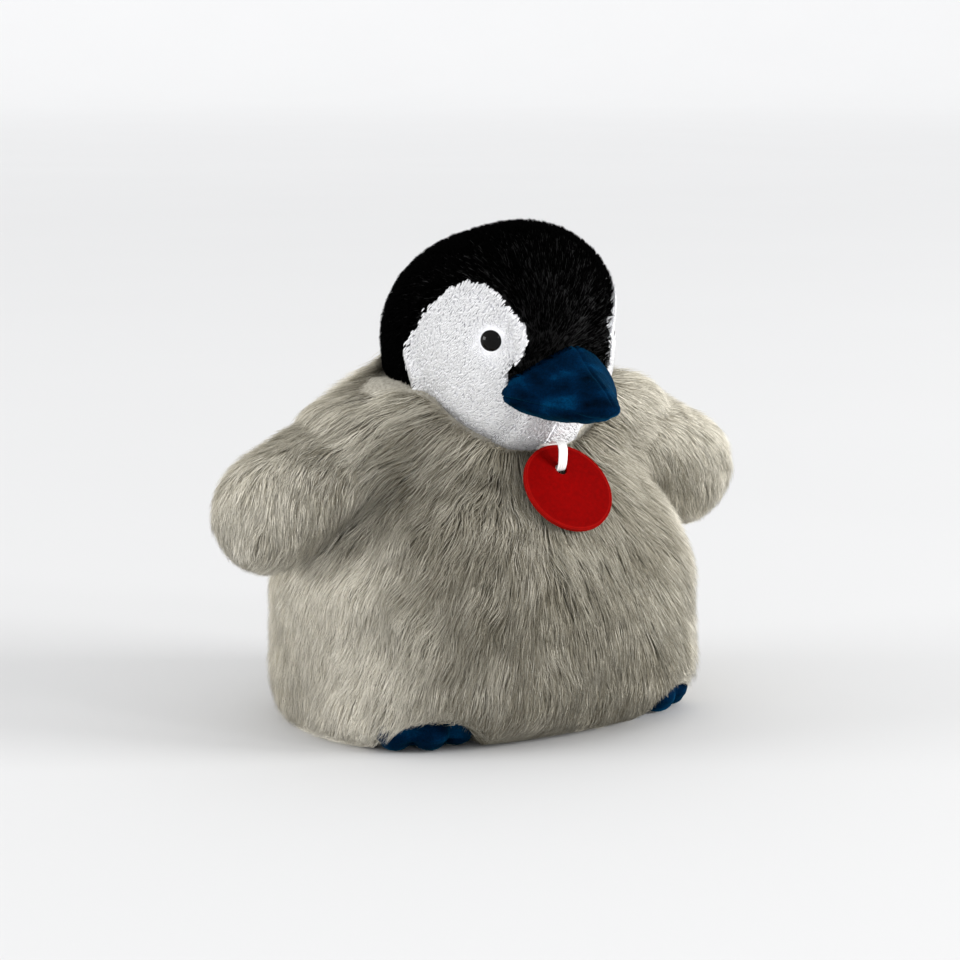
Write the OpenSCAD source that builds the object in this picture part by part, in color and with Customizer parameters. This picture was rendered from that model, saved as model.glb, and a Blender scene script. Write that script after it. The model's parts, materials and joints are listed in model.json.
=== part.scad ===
// Plush penguin chick: a round long-pile body, a short-pile head with a soft bill,
// two stubby wings, two velour feet and a round hang tag on a ribbon loop.
// The chick faces -Y, its own left is +X, and it sits on the plane z = 0.

/* [Body] */
// Half the width across the hips, over the laid pile
hip_x = 91; // [80:1:100]
// Half the depth from the widest line to the front of the belly
belly_y = 82; // [74:1:90]
// Half the depth from the widest line to the back
back_y = 86; // [78:1:94]
// Height of the widest line
widest_z = 45; // [38:1:52]
// Height of the collar's top edge at the nape
collar_z = 150; // [146:1:154]
// Thickness of backing cloth and laid pile on the body
pile_t = 9; // [6:0.5:12]

/* [Head] */
// Radius of the head over its short pile
head_r = 49; // [47:0.5:50]
// Height of the head's centre
head_z = 155.5; // [154:0.5:160]
// How far the head's centre sits in front of the body's axis
head_fwd = 12; // [8:1:14]
// Thickness of backing cloth and pile on the head
hood_t = 7; // [4:0.5:9]
// Radius of the forehead that bulges over the bill
brow_r = 38; // [36:0.5:39]
// Diameter of the domed safety eyes
eye_d = 10.8; // [9:0.2:13]

/* [Bill] */
// How far the bill's tip is in front of the body's axis
bill_tip = 91; // [86:0.5:95]
// Width across the corners of the mouth
bill_w = 54; // [46:1:58]

/* [Wings] */
// Distance of each wing's tip from the middle plane
wing_tip_x = 128; // [122:1:132]
// Radius of the wing's rounded end
wing_tip_r = 26; // [22:0.5:27]
// Half the thickness of a wing from front to back
wing_half_t = 21; // [16:1:23]

/* [Feet] */
// Distance of each foot's centre from the middle plane
foot_x = 53; // [50:1:55]
// Height of a foot
foot_h = 16; // [13:1:17]
// Angle by which the toes point outwards
toe_out = 12; // [0:1:20]

/* [Tag] */
// Diameter of the hang tag
tag_d = 39; // [32:1:42]
// Thickness of the hang tag
tag_t = 1.6; // [1:0.1:2]
// Lean of the tag away from upright, as it lies on the chest
tag_lean = 38; // [34:1:42]

/* [Hidden] */
$fn = 64;

big = 400;              // reach of a cutting block
soft_gap = 0.6;         // clearance between soft pieces that move on each other
seam_gap = 0.1;         // clearance between pieces that are sewn or pushed together
lining_gap = 0.9;       // room between the backing cloth and what it is stuffed with
ball_fn = 22;           // facets round the balls of the soft bill and feet
wing_fn = 28;           // facets round the balls of a wing
fine_fn = 96;           // facets round the head and the hang tag
relief_fn = 128;        // facets round the ball that clears the body's side

// Colours
body_fur = [0.62, 0.61, 0.57];
hood_fur = [0.03, 0.03, 0.03];
face_fur = [0.92, 0.92, 0.93];
velour = [0.02, 0.12, 0.2];
stuffing = [0.9, 0.9, 0.88];
lining = [0.8, 0.8, 0.76];
pellets = [0.93, 0.93, 0.93];
label_cloth = [0.95, 0.95, 0.95];
thread = [0.85, 0.85, 0.84];
eye_black = [0.02, 0.02, 0.02];
washer_plastic = [0.85, 0.85, 0.82];
tag_card = [0.6, 0, 0];
ribbon = [0.88, 0.87, 0.86];

// ---- Body outline: half widths at height z, rounded below and drawn in to the neck ----
shoulder_z = 104;       // height where the dome turns into the neck
hip_floor_x = 84;       // half width on the floor
belly_floor_y = 52;     // reach of the belly on the floor
back_floor_y = 62;      // reach of the back on the floor
neck_x = 50;            // half width at the collar
neck_front_y = 38;      // front reach at the collar
neck_back_y = 45;       // back reach at the collar
dome_h_x = 86;          // height of the side dome's ellipse
dome_h_front = 82;      // height of the front dome's ellipse
dome_h_back = 96;       // height of the back dome's ellipse
floor_round = 2.4;      // fullness of the rounding above the floor
haunch_square = 0.6;    // how much squarer than an ellipse the plan is on the floor

function rounding(z) = pow(1 - pow(1 - z / widest_z, floor_round), 1 / floor_round);
function dome(z, h) = sqrt(1 - pow((z - widest_z) / h, 2));
function neck_blend(z) = pow(1 - (z - shoulder_z) / (collar_z - shoulder_z), 2);
function reach(z, low, wide, top, h) =
    z < widest_z ? low + (wide - low) * rounding(z) :
    z < shoulder_z ? wide * dome(z, h) :
    top + (wide * dome(shoulder_z, h) - top) * neck_blend(z);
function side_reach(z) = reach(z, hip_floor_x, hip_x, neck_x, dome_h_x);
function front_reach(z) = reach(z, belly_floor_y, belly_y, neck_front_y, dome_h_front);
function back_reach(z) = reach(z, back_floor_y, back_y, neck_back_y, dome_h_back);

// A squarer plan near the floor, where the haunches spread
function plan_power(z) = 2 / (2 + haunch_square * max(0, 1 - z / widest_z));
function bent(v, p) = sign(v) * pow(abs(v), p);
// The point at height z and angle a from the front, t inside the outer face
function body_point(a, z, t) = [
    (side_reach(z) - t) * bent(sin(a), plan_power(z)),
    -((cos(a) > 0 ? front_reach(z) : back_reach(z)) - t) * bent(cos(a), plan_power(z)),
    z
];

// ---- Lofts: triangles between rings of points, each ring at its own height ----
function wall_faces(n, m) = [
    for (j = [0 : m - 2], i = [0 : n - 1], half = [0, 1])
        let (k = (i + 1) % n)
        half == 0 ? [j * n + i, (j + 1) * n + i, (j + 1) * n + k] : [j * n + i, (j + 1) * n + k, j * n + k]
];
function turned(face) = [for (i = [len(face) - 1 : -1 : 0]) face[i]];
function strip_cap(n) = [
    for (i = [0 : n / 2 - 2], half = [0, 1])
        half == 0 ? [i, i + 1, n - 2 - i] : [i, n - 2 - i, n - 1 - i]
];
function flat(rings) = [for (ring = rings, p = ring) p];
function shifted(face, by) = [for (i = face) i + by];

// A solid whose rings are convex loops
module loft(rings) {
    n = len(rings[0]);
    m = len(rings);
    ends = [[for (i = [0 : n - 1]) i], turned([for (i = [0 : n - 1]) (m - 1) * n + i])];
    polyhedron(flat(rings), concat(wall_faces(n, m), ends));
}

// A bent wall whose rings run out along the outer face and back along the inner face
module loft_wall(rings) {
    n = len(rings[0]);
    m = len(rings);
    low = strip_cap(n);
    high = [for (f = low) turned(shifted(f, (m - 1) * n))];
    polyhedron(flat(rings), concat(wall_faces(n, m), low, high));
}

wall_levels = 15;       // steps up the body's wall
level_crowding = 1.4;   // above 1 the steps are closer together near the floor
plan_step = 8;          // degrees between points round the plan
base_t = 4;             // thickness of the base panel and its pile
function levels(low, high, count) =
    [for (t = [0 : count]) low + (high - low) * pow(t / count, level_crowding)];

// The wall of pile and backing between two angles from the front
module body_wall(from, to) {
    steps = round((to - from) / plan_step);
    loft_wall([
        for (z = levels(0, collar_z, wall_levels)) concat(
            [for (i = [0 : steps]) body_point(from + (to - from) * i / steps, z, 0)],
            [for (i = [steps : -1 : 0]) body_point(from + (to - from) * i / steps, z, pile_t)]
        )
    ]);
}

// Everything inside the wall between two heights
module body_core(low, high, count) {
    loft([for (z = levels(low, high, count))
        [for (a = [0 : plan_step : 359]) body_point(a, z, pile_t + lining_gap)]]);
}

// ---- Places ----
module at_head() {
    translate([0, -head_fwd, head_z]) children();
}

// Local +Z points out of the head at angle az from the front and el above level
module toward(az, el) {
    rotate([0, 0, az]) rotate([90 - el, 0, 0]) children();
}

// The chick's left wing and foot are drawn, and the right ones are their mirror images
module on_side(side) {
    if (side == "left") children();
    else mirror([1, 0, 0]) children();
}

// Angles from the front count towards the chick's left
function turn(side) = side == "left" ? 1 : -1;

wing_root_r = 27;
wing_root = [66, 0, 111.5];
wing_tip = [wing_tip_x - wing_tip_r, 0, 95];
wing_keep_gap = 1.1;    // margin round the root inside which the wing keeps its full form
wing_keep_r = wing_root_r + wing_keep_gap;
wing_socket_r = wing_keep_r + soft_gap;
wing_relief_r = 93;     // ball over the body's side that the lifted wing clears
wing_relief_z = 43;
foot_y = -30;           // each foot's centre, in front of the body's axis
foot_pocket_r = 24;
foot_pocket_h = 22;
neck_core_r = 20;       // ball of stuffing that the head turns on
neck_stem_r = 12;
neck_stem_low = 88;     // lower end of the stem inside the body
neck_bore_gap = 0.4;

module head_seat() {
    at_head() sphere(head_r + soft_gap, $fn = fine_fn);
}

module wing_sockets() {
    for (s = [-1, 1])
        translate([s * wing_root[0], 0, wing_root[2]])
            rotate([90, 0, 0]) cylinder(r = wing_socket_r, h = 2 * wing_half_t + 2 * soft_gap, center = true);
}

// Room for the feet, open to the front under the belly
module foot_pockets() {
    for (s = [-1, 1])
        translate([s * foot_x, foot_y, -1]) rotate([0, 0, s * toe_out]) {
            cylinder(r = foot_pocket_r, h = foot_pocket_h + 1);
            translate([-foot_pocket_r, -belly_y, 0]) cube([2 * foot_pocket_r, belly_y, foot_pocket_h + 1]);
        }
}

tag_place = [0, -60.2, 103.3];
tag_hole_up = 8.5;      // the hole's centre above the tag's centre
tag_hole_r = 2.6;
anchor_up = 20.8;       // the thread bar above the tag's centre
anchor_in = -1;         // and behind its middle plane
anchor_leg = 3.3;       // length of the legs that hold the bar off the seam
anchor_w = 8;
anchor_r = 0.7;
recess_low = 5;         // the dent in the chest that the ribbon and its thread lie in
recess_high = 24;
recess_front = 3.6;

// Local +Y runs up the tag and local +Z out of its face
module tag_frame() {
    translate(tag_place) rotate([90 - tag_lean, 0, 0]) children();
}

module tag_recess() {
    recess_w = anchor_w + 2;
    back = anchor_in - anchor_leg - seam_gap;
    tag_frame() translate([-recess_w / 2, recess_low, back])
        cube([recess_w, recess_high - recess_low, recess_front - back]);
}

module body_cuts() {
    head_seat();
    wing_sockets();
    foot_pockets();
}

// ---- Body ----
chest_half_angle = 46;
flank_end_angle = 128;

module chest_panel() {
    color(body_fur) difference() {
        body_wall(-chest_half_angle, chest_half_angle);
        body_cuts();
        tag_recess();
    }
}

module flank_panel(side) {
    color(body_fur) difference() {
        on_side(side) body_wall(chest_half_angle, flank_end_angle);
        body_cuts();
    }
}

module back_panel(side) {
    color(body_fur) difference() {
        on_side(side) body_wall(flank_end_angle, 180);
        body_cuts();
    }
}

module base_panel() {
    color(body_fur) difference() {
        body_core(0, base_t - seam_gap, 1);
        foot_pockets();
    }
}

bag_r = 36;
bag_h = 18;
bag_y = 8;
bag_skin = 1;
bag_floor = base_t + 0.2;
collar_depth = 12;      // the fur collar stands this far above the stuffing

// A flat round cushion outline, t inside the bag's outer face
module bag_shape(t) {
    translate([0, bag_y, bag_floor + t]) rotate_extrude() {
        square([bag_r - bag_h / 2, bag_h - 2 * t]);
        translate([bag_r - bag_h / 2, bag_h / 2 - t]) intersection() {
            circle(bag_h / 2 - t);
            translate([0, -bag_h]) square([bag_h, 2 * bag_h]);
        }
    }
}

module torso_stuffing() {
    color(stuffing) difference() {
        body_core(base_t, collar_z - collar_depth, wall_levels);
        body_cuts();
        bag_shape(-seam_gap);
        translate([0, -head_fwd, neck_stem_low - neck_bore_gap])
            cylinder(r = neck_stem_r + neck_bore_gap, h = collar_z - neck_stem_low);
    }
}

module pellet_bag() {
    color(lining) difference() {
        bag_shape(0);
        bag_shape(bag_skin);
    }
}

module pellet_fill() {
    color(pellets) bag_shape(bag_skin);
}

label_w = 14;
label_h = 26;
label_t = 0.7;
label_gap = 0.4;        // it hangs this far behind the back seam

module care_label() {
    color(label_cloth) translate([-label_w / 2, back_y + label_gap, widest_z - label_h])
        cube([label_w, label_t, label_h]);
}

// A bar of thread on two legs that hold it off the neck seam
module tag_anchor() {
    thick = 2 * anchor_r;
    color(thread) tag_frame() translate([0, anchor_up, anchor_in]) {
        rotate([0, 90, 0]) cylinder(r = anchor_r, h = anchor_w, center = true);
        for (x = [-anchor_w / 2, anchor_w / 2 - thick])
            translate([x, -anchor_r, -anchor_leg]) cube([thick, thick, anchor_leg]);
    }
}

// ---- Neck ----
module neck_core() {
    color(stuffing) at_head() {
        sphere(neck_core_r);
        translate([0, 0, neck_stem_low - head_z]) cylinder(r = neck_stem_r, h = head_z - neck_stem_low);
    }
}

// ---- Head ----
brow = [0, -17.5, 15];  // the forehead's centre, from the head's centre
gusset_half_w = 14;
chin_back_y = 10;       // the chin panel starts this far in front of the head's centre
chin_top_drop = 10;     // and this far below it
neck_throat_r = 17;     // the head's neck opening, beside the neck's ball
neck_throat_drop = 13;  // and this far below the ball's centre
neck_opening_r = 27;    // and where it comes out under the head
eye_az = 38;            // each eye's angle from the front
eye_el = 10;            // and above level
eye_sink = hood_t - 2;  // depth of the eye's flat back in the pile
eye_dome_h = 4.4;
eye_rim_h = 0.4;
eye_stem_r = 1.6;
eye_stem_in = 4;        // the stem runs this far past the cheek, into its washer
cheek_top = [55, 8, 26];        // the two circles of a face patch: angle, height, radius
cheek_low = [52, -22, 25];

module neck_opening() {
    mirror([0, 0, 1]) translate([0, 0, neck_throat_drop])
        cylinder(r1 = neck_throat_r, r2 = neck_opening_r, h = head_r + 1 - neck_throat_drop);
}

// The head's ball with its bulging forehead, t inside the outer face
module head_form(t) {
    sphere(head_r - t, $fn = fine_fn);
    translate(brow) sphere(brow_r - t, $fn = fine_fn);
}

module head_shell() {
    difference() {
        head_form(0);
        head_form(hood_t);
        neck_opening();
    }
}

// The outline of one white face patch, as a bore that runs out of the head
module cheek_outline(side) {
    for (bore = [cheek_top, cheek_low])
        toward(turn(side) * bore[0], bore[1]) cylinder(r = bore[2], h = big);
}

module beyond_gusset(side) {
    on_side(side) translate([gusset_half_w, -big / 2, -big / 2]) cube(big);
}

module within_gusset() {
    cube([2 * gusset_half_w, big, big], center = true);
}

module chin_block() {
    translate([-gusset_half_w, -big - chin_back_y, -big - chin_top_drop]) cube([2 * gusset_half_w, big, big]);
}

module at_eye(side) {
    toward(turn(side) * eye_az, eye_el) children();
}

module eye_seat(side) {
    at_eye(side) {
        translate([0, 0, head_r - eye_sink]) cylinder(d = eye_d + soft_gap, h = head_r);
        cylinder(r = eye_stem_r + seam_gap, h = head_r);
    }
}

module crown_gusset() {
    color(hood_fur) at_head() difference() {
        intersection() {
            head_shell();
            within_gusset();
        }
        chin_block();
    }
}

module crown_panel(side) {
    color(hood_fur) at_head() difference() {
        intersection() {
            head_shell();
            beyond_gusset(side);
        }
        cheek_outline(side);
    }
}

module cheek_panel(side) {
    color(face_fur) at_head() difference() {
        intersection() {
            head_shell();
            beyond_gusset(side);
            cheek_outline(side);
        }
        eye_seat(side);
    }
}

module chin_panel() {
    color(face_fur) at_head() intersection() {
        head_shell();
        chin_block();
    }
}

washer_r = 6;
washer_t = 1.5;
washer_in = 1;          // gap between the cheek's backing and the washer
washer_room = 7;        // depth of the hollow in the stuffing behind the cheek

module head_stuffing() {
    color(stuffing) at_head() difference() {
        head_form(hood_t);
        sphere(neck_core_r + soft_gap);
        neck_opening();
        for (side = ["left", "right"])
            at_eye(side) translate([0, 0, head_r - hood_t - washer_room])
                cylinder(r = washer_r + soft_gap / 2, h = washer_room + hood_t);
    }
}

// A glossy dome on a stem that goes through the cheek into its washer
module eye(side) {
    dome_r = (pow(eye_d / 2, 2) + pow(eye_dome_h, 2)) / (2 * eye_dome_h);
    back = head_r - eye_sink + seam_gap;
    stem_low = head_r - hood_t - eye_stem_in;
    color(eye_black) at_head() at_eye(side) {
        translate([0, 0, back]) intersection() {
            cylinder(d = eye_d, h = eye_dome_h + eye_rim_h);
            translate([0, 0, eye_dome_h + eye_rim_h - dome_r]) sphere(dome_r);
        }
        translate([0, 0, stem_low]) cylinder(r = eye_stem_r, h = back + eye_rim_h - stem_low);
    }
}

module eye_washer(side) {
    color(washer_plastic) at_head() at_eye(side)
        translate([0, 0, head_r - hood_t - washer_in - washer_t]) difference() {
            cylinder(r = washer_r, h = washer_t);
            translate([0, 0, -1]) cylinder(r = eye_stem_r + seam_gap, h = washer_t + 2);
        }
}

// ---- Bill ----
bill_skin = 2;
mouth_z = 137;          // height of the seam between the two halves
bill_top_r = 7;
bill_corner_r = 7;
bill_under_r = 6;
bill_tip_r = 5.5;
bill_top = [0, -60, 152.5];
bill_corner = [bill_w / 2 - bill_corner_r, -55, 139];
bill_under = [10, -60, 137.5];
bill_end = [0, bill_tip_r - bill_tip, 139.5];

// The bill's outer form, t inside its face
module bill_form(t) {
    hull() {
        translate(bill_top) sphere(bill_top_r - t, $fn = ball_fn);
        translate(bill_end) sphere(bill_tip_r - t, $fn = ball_fn);
        for (side = ["left", "right"]) on_side(side) {
            translate(bill_corner) sphere(bill_corner_r - t, $fn = ball_fn);
            translate(bill_under) sphere(bill_under_r - t, $fn = ball_fn);
        }
    }
}

module bill_skin_part() {
    difference() {
        bill_form(0);
        bill_form(bill_skin);
        at_head() head_form(0);
    }
}

module upper_bill() {
    color(velour) intersection() {
        bill_skin_part();
        translate([-big / 2, -big, mouth_z]) cube(big);
    }
}

module lower_bill() {
    color(velour) intersection() {
        bill_skin_part();
        translate([-big / 2, -big, mouth_z - big]) cube(big);
    }
}

module bill_stuffing() {
    color(stuffing) difference() {
        bill_form(bill_skin);
        at_head() head_form(0);
    }
}

// ---- Wings ----
wing_skin = 6;

// A ball flattened from front to back
module flat_ball(r, half_t) {
    rotate([90, 0, 0]) scale([1, 1, half_t / r]) sphere(r, $fn = wing_fn);
}

module wing_form(t) {
    hull() {
        translate(wing_root) flat_ball(wing_root_r - t, wing_half_t - t);
        translate(wing_tip) flat_ball(wing_tip_r - t, wing_half_t - t);
    }
}

// The body's side as a ball that clears it, without the room kept for the wing's root
module wing_relief() {
    difference() {
        translate([0, 0, wing_relief_z]) sphere(wing_relief_r, $fn = relief_fn);
        translate(wing_root) rotate([90, 0, 0]) cylinder(r = wing_keep_r, h = big, center = true);
    }
}

// One face of the wing: front is -1 and back is 1
module wing_face(side, face) {
    color(body_fur) on_side(side) intersection() {
        difference() {
            wing_form(0);
            wing_form(wing_skin);
            wing_relief();
        }
        translate([-big / 2, face < 0 ? -big : 0, -big / 2]) cube(big);
    }
}

module wing_stuffing(side) {
    color(stuffing) on_side(side) difference() {
        wing_form(wing_skin);
        wing_relief();
    }
}

// ---- Feet ----
foot_skin = 2;
foot_lift = 0.4;        // the soles hang this far above the floor
sole_t = 3.5;
heel_y = 9;             // the heel behind the foot's centre, where the foot bends
foot_balls = [[-8, heel_y], [8, heel_y], [-12.5, -11], [0, -16], [12.5, -11]];
toe_notch = [7.5, -25]; // the dents between the toes
toe_notch_r = 3.4;

module at_foot(side) {
    on_side(side) translate([foot_x, foot_y, foot_lift]) rotate([0, 0, toe_out]) children();
}

// A heel and three toes in one soft form, t inside its face
module foot_form(t) {
    r = foot_h / 2;
    difference() {
        hull() {
            for (ball = foot_balls)
                translate([ball[0], ball[1], r]) sphere(r - t, $fn = ball_fn);
        }
        for (side = ["left", "right"]) on_side(side)
            translate([toe_notch[0], toe_notch[1], -1]) cylinder(r = toe_notch_r + t, h = foot_h + 2);
    }
}

module above_sole() {
    translate([-big / 2, -big / 2, sole_t]) cube(big);
}

module foot_upper(side) {
    color(velour) at_foot(side) intersection() {
        difference() {
            foot_form(0);
            foot_form(foot_skin);
        }
        above_sole();
    }
}

module foot_sole(side) {
    color(velour) at_foot(side) difference() {
        foot_form(0);
        above_sole();
    }
}

module foot_stuffing(side) {
    color(stuffing) at_foot(side) intersection() {
        foot_form(foot_skin);
        above_sole();
    }
}

// ---- Tag and loop ----
module hang_tag() {
    color(tag_card) tag_frame() difference() {
        cylinder(d = tag_d, h = tag_t, center = true, $fn = fine_fn);
        translate([0, tag_hole_up, 0]) cylinder(r = tag_hole_r, h = tag_t + 2, center = true);
    }
}

// The ribbon's middle line in the tag's own frame: [up the tag, out of its face]
loop_route = [
    [19.6, 2.2], [19.8, 3.4], [19.4, 4.7], [18.6, 6.0], [17.3, 7.0], [15.7, 7.2], [14.1, 6.6], [12.5, 5.4],
    [10.9, 4.0], [9.5, 2.5], [8.7, 1.1], [8.4, 0.0], [8.6, -1.0], [9.4, -1.8], [11.0, -2.2], [13.5, -2.4],
    [16.0, -2.6], [18.0, -3.0], [19.4, -3.3], [20.4, -3.5]
];
loop_r = 0.9;
loop_sides = 8;

function loop_dir(i) =
    let (a = loop_route[max(i - 1, 0)], b = loop_route[min(i + 1, len(loop_route) - 1)])
    (b - a) / norm(b - a);
function loop_ring(i) = let (p = loop_route[i], d = loop_dir(i)) [
    for (k = [0 : loop_sides - 1])
        let (side = loop_r * sin(k * 360 / loop_sides), out = loop_r * cos(k * 360 / loop_sides))
        [side, p[0] - d[1] * out, p[1] + d[0] * out]
];

module tag_loop() {
    color(ribbon) tag_frame() loft([for (i = [0 : len(loop_route) - 1]) loop_ring(i)]);
}

chest_panel();
flank_panel("left");  // flank_panel_left
flank_panel("right");  // flank_panel_right
back_panel("left");  // back_panel_left
back_panel("right");  // back_panel_right
base_panel();
torso_stuffing();
pellet_bag();
pellet_fill();
care_label();
tag_anchor();
neck_core();
crown_gusset();
crown_panel("left");  // crown_panel_left
crown_panel("right");  // crown_panel_right
cheek_panel("left");  // cheek_panel_left
cheek_panel("right");  // cheek_panel_right
chin_panel();
head_stuffing();
eye("left");  // eye_left
eye("right");  // eye_right
eye_washer("left");  // eye_washer_left
eye_washer("right");  // eye_washer_right
upper_bill();
lower_bill();
bill_stuffing();
wing_face("left", -1);  // wing_left_front
wing_face("left", 1);  // wing_left_back
wing_stuffing("left");  // wing_left_stuffing
wing_face("right", -1);  // wing_right_front
wing_face("right", 1);  // wing_right_back
wing_stuffing("right");  // wing_right_stuffing
foot_upper("left");  // foot_left_upper
foot_sole("left");  // foot_left_sole
foot_stuffing("left");  // foot_left_stuffing
foot_upper("right");  // foot_right_upper
foot_sole("right");  // foot_right_sole
foot_stuffing("right");  // foot_right_stuffing
hang_tag();
tag_loop();
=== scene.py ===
import json
import math

import bpy
import numpy as np
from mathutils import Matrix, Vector


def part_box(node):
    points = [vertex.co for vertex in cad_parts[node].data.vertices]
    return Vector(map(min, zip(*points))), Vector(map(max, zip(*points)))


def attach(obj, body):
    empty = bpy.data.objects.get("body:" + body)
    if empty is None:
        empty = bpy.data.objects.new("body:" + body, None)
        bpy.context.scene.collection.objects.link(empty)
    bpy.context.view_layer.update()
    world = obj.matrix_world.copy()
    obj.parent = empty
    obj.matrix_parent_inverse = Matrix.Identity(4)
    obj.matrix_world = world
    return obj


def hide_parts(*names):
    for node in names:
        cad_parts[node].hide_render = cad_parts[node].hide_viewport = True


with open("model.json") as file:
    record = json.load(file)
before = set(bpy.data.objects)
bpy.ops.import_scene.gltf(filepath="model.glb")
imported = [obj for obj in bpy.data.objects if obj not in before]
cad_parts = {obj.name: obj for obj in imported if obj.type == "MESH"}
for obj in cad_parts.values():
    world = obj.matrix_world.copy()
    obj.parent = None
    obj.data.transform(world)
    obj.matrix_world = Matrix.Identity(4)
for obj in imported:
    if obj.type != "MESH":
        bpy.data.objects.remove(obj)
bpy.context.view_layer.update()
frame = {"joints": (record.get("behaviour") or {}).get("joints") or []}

# The shapes below are worked out in millimetres, and MM turns them into the frame's metres.
MM = 0.001
rng = np.random.default_rng(7)


# ---- Sizes taken from the frame ------------------------------------------------------------

def low(node):
    return np.array(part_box(node)[0]) / MM


def high(node):
    return np.array(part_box(node)[1]) / MM


def pivot(name):
    return next(np.array(j["pos_m"]) / MM for j in frame["joints"] if j["name"] == name)


HIP_X = high("flank_panel_left")[0]
BELLY_Y = -low("chest_panel")[1]
BACK_Y = high("back_panel_left")[1]
COLLAR_Z = high("back_panel_left")[2]
HEAD_C = pivot("head_nod")
HEAD_R = high("crown_gusset")[1] - HEAD_C[1]
BROW_R = 38
BROW = np.array([0, low("crown_gusset")[1] + BROW_R, high("crown_gusset")[2] - BROW_R])
WING_ROOT = pivot("wing_left_lift")
WING_R = high("wing_left_front")[2] - WING_ROOT[2]
WING_HALF_T = -low("wing_left_front")[1]
WING_TIP_R = WING_R - 1
FOOT = np.array([53, -30, 0.4])
TOE_OUT = math.radians(12)
WING_TIP = np.array([high("wing_left_front")[0] - WING_TIP_R, 0, low("wing_left_front")[2] + WING_TIP_R])

# The body's outline is the CAD model's, but the belly meets the floor a little further back
WIDEST_Z = 45
SHOULDER_Z = 104
HIP_FLOOR_X = 84
BELLY_FLOOR_Y = 47
BACK_FLOOR_Y = 62
NECK_X = 50
NECK_FRONT_Y = 38
NECK_BACK_Y = 45
DOME_X = 86
DOME_FRONT = 82
DOME_BACK = 96
FLOOR_ROUND = 2.4
HAUNCH_SQUARE = 0.6
# Where the fur stands fuller than the outline: the height it is fullest at, its spread up and down from
# there, and how much fuller it is
COLLAR_SWELL = (136, 14, 12)
NAPE_SWELL = (136, 14, 2)
SHOULDER_SWELL = (124, 12, 12)
WAIST_SWELL = (66, 22, 4)


# ---- Camera --------------------------------------------------------------------------------

def make_camera():
    """The camera stands to the chick's right and a little above it."""
    data = bpy.data.cameras.new("camera")
    data.lens = 99.5
    data.sensor_width = 36
    camera = bpy.data.objects.new("camera", data)
    bpy.context.scene.collection.objects.link(camera)
    place = Vector((-0.59831, -0.91709, 0.283))
    target = Vector((-0.00193, 0.00125, 0.098))
    camera.location = place
    camera.rotation_euler = (target - place).to_track_quat("-Z", "Y").to_euler()
    bpy.context.scene.camera = camera


# ---- Surfaces: each is a function of points that is 0 on it and about the distance from it --

def fade_in(value, start, span):
    """0 up to the start, then evenly up to 1 over the span."""
    return np.clip((value - start) / span, 0, 1)


def swell(z, place):
    middle, spread, amount = place
    return amount * np.exp(-((z - middle) / spread) ** 2)


def join(a, b, soft):
    """The smaller of two distances, rounded over that far where they meet."""
    return np.minimum(a, b) - np.clip(soft - np.abs(a - b), 0, None) ** 2 / (4 * soft)


def rounding(z):
    return (1 - (1 - np.clip(z / WIDEST_Z, 0, 1)) ** FLOOR_ROUND) ** (1 / FLOOR_ROUND)


def reach(z, floor, wide, top, height):
    shoulder = wide * math.sqrt(1 - ((SHOULDER_Z - WIDEST_Z) / height) ** 2)
    below = floor + (wide - floor) * rounding(z)
    dome = wide * np.sqrt(1 - (np.clip(z - WIDEST_Z, 0, SHOULDER_Z - WIDEST_Z) / height) ** 2)
    up_neck = (np.clip(z, SHOULDER_Z, COLLAR_Z) - SHOULDER_Z) / (COLLAR_Z - SHOULDER_Z)
    neck = top + (shoulder - top) * (1 - up_neck) ** 2
    return np.where(z < WIDEST_Z, below, np.where(z < SHOULDER_Z, dome, neck))


def torso_surface(p):
    z = p[..., 2]
    half_x = reach(z, HIP_FLOOR_X, HIP_X, NECK_X, DOME_X)
    front = reach(z, BELLY_FLOOR_Y, BELLY_Y, NECK_FRONT_Y, DOME_FRONT)
    back = reach(z, BACK_FLOOR_Y, BACK_Y, NECK_BACK_Y, DOME_BACK)
    half_x = half_x + swell(z, COLLAR_SWELL) + swell(z, SHOULDER_SWELL) + swell(z, WAIST_SWELL)
    half_y = np.where(p[..., 1] < 0, front, back + swell(z, NAPE_SWELL))
    power = 2 + HAUNCH_SQUARE * np.clip(1 - z / WIDEST_Z, 0, 1)
    size = (np.abs(p[..., 0] / half_x) ** power + np.abs(p[..., 1] / half_y) ** power + 1e-9) ** (1 / power)
    return (size - 1) * np.minimum(half_x, half_y)


# Stretches a wing from front to back until it is round
WING_FLAT = np.array([1, WING_R / WING_HALF_T, 1])


def wing_surface(p):
    """A capsule from the wing's root to its tip, flattened from front to back. p is on the left side."""
    root = WING_ROOT * WING_FLAT
    axis = WING_TIP * WING_FLAT - root
    q = p * WING_FLAT - root
    t = np.clip(q @ axis / (axis @ axis), 0, 1)
    radius = WING_R + (WING_TIP_R - WING_R) * t
    return np.linalg.norm(q - t[..., None] * axis, axis=-1) - radius


def shoulder_surface(p):
    """The torso with a fillet up to the flattened ball at each wing's root."""
    torso = torso_surface(p)
    side = np.stack([np.abs(p[..., 0]), p[..., 1], p[..., 2]], -1)
    root = np.linalg.norm((side - WING_ROOT) * WING_FLAT, axis=-1) - WING_R
    root = np.where(root > 0, root * WING_HALF_T / WING_R, root)
    armpit, shoulder = 4, 20
    return join(torso, root, armpit + (shoulder - armpit) * fade_in(p[..., 2], 92, 24))


def bearing(azimuth, elevation):
    """The direction at that angle from the front towards the left, and above level."""
    a, e = math.radians(azimuth), math.radians(elevation)
    return np.array([math.sin(a) * math.cos(e), -math.cos(a) * math.cos(e), math.sin(e)])


EYE_AXES = []
for eye_node in ("eye_left", "eye_right"):
    aim = (low(eye_node) + high(eye_node)) / 2 - HEAD_C
    EYE_AXES.append(aim / np.linalg.norm(aim))
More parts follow.
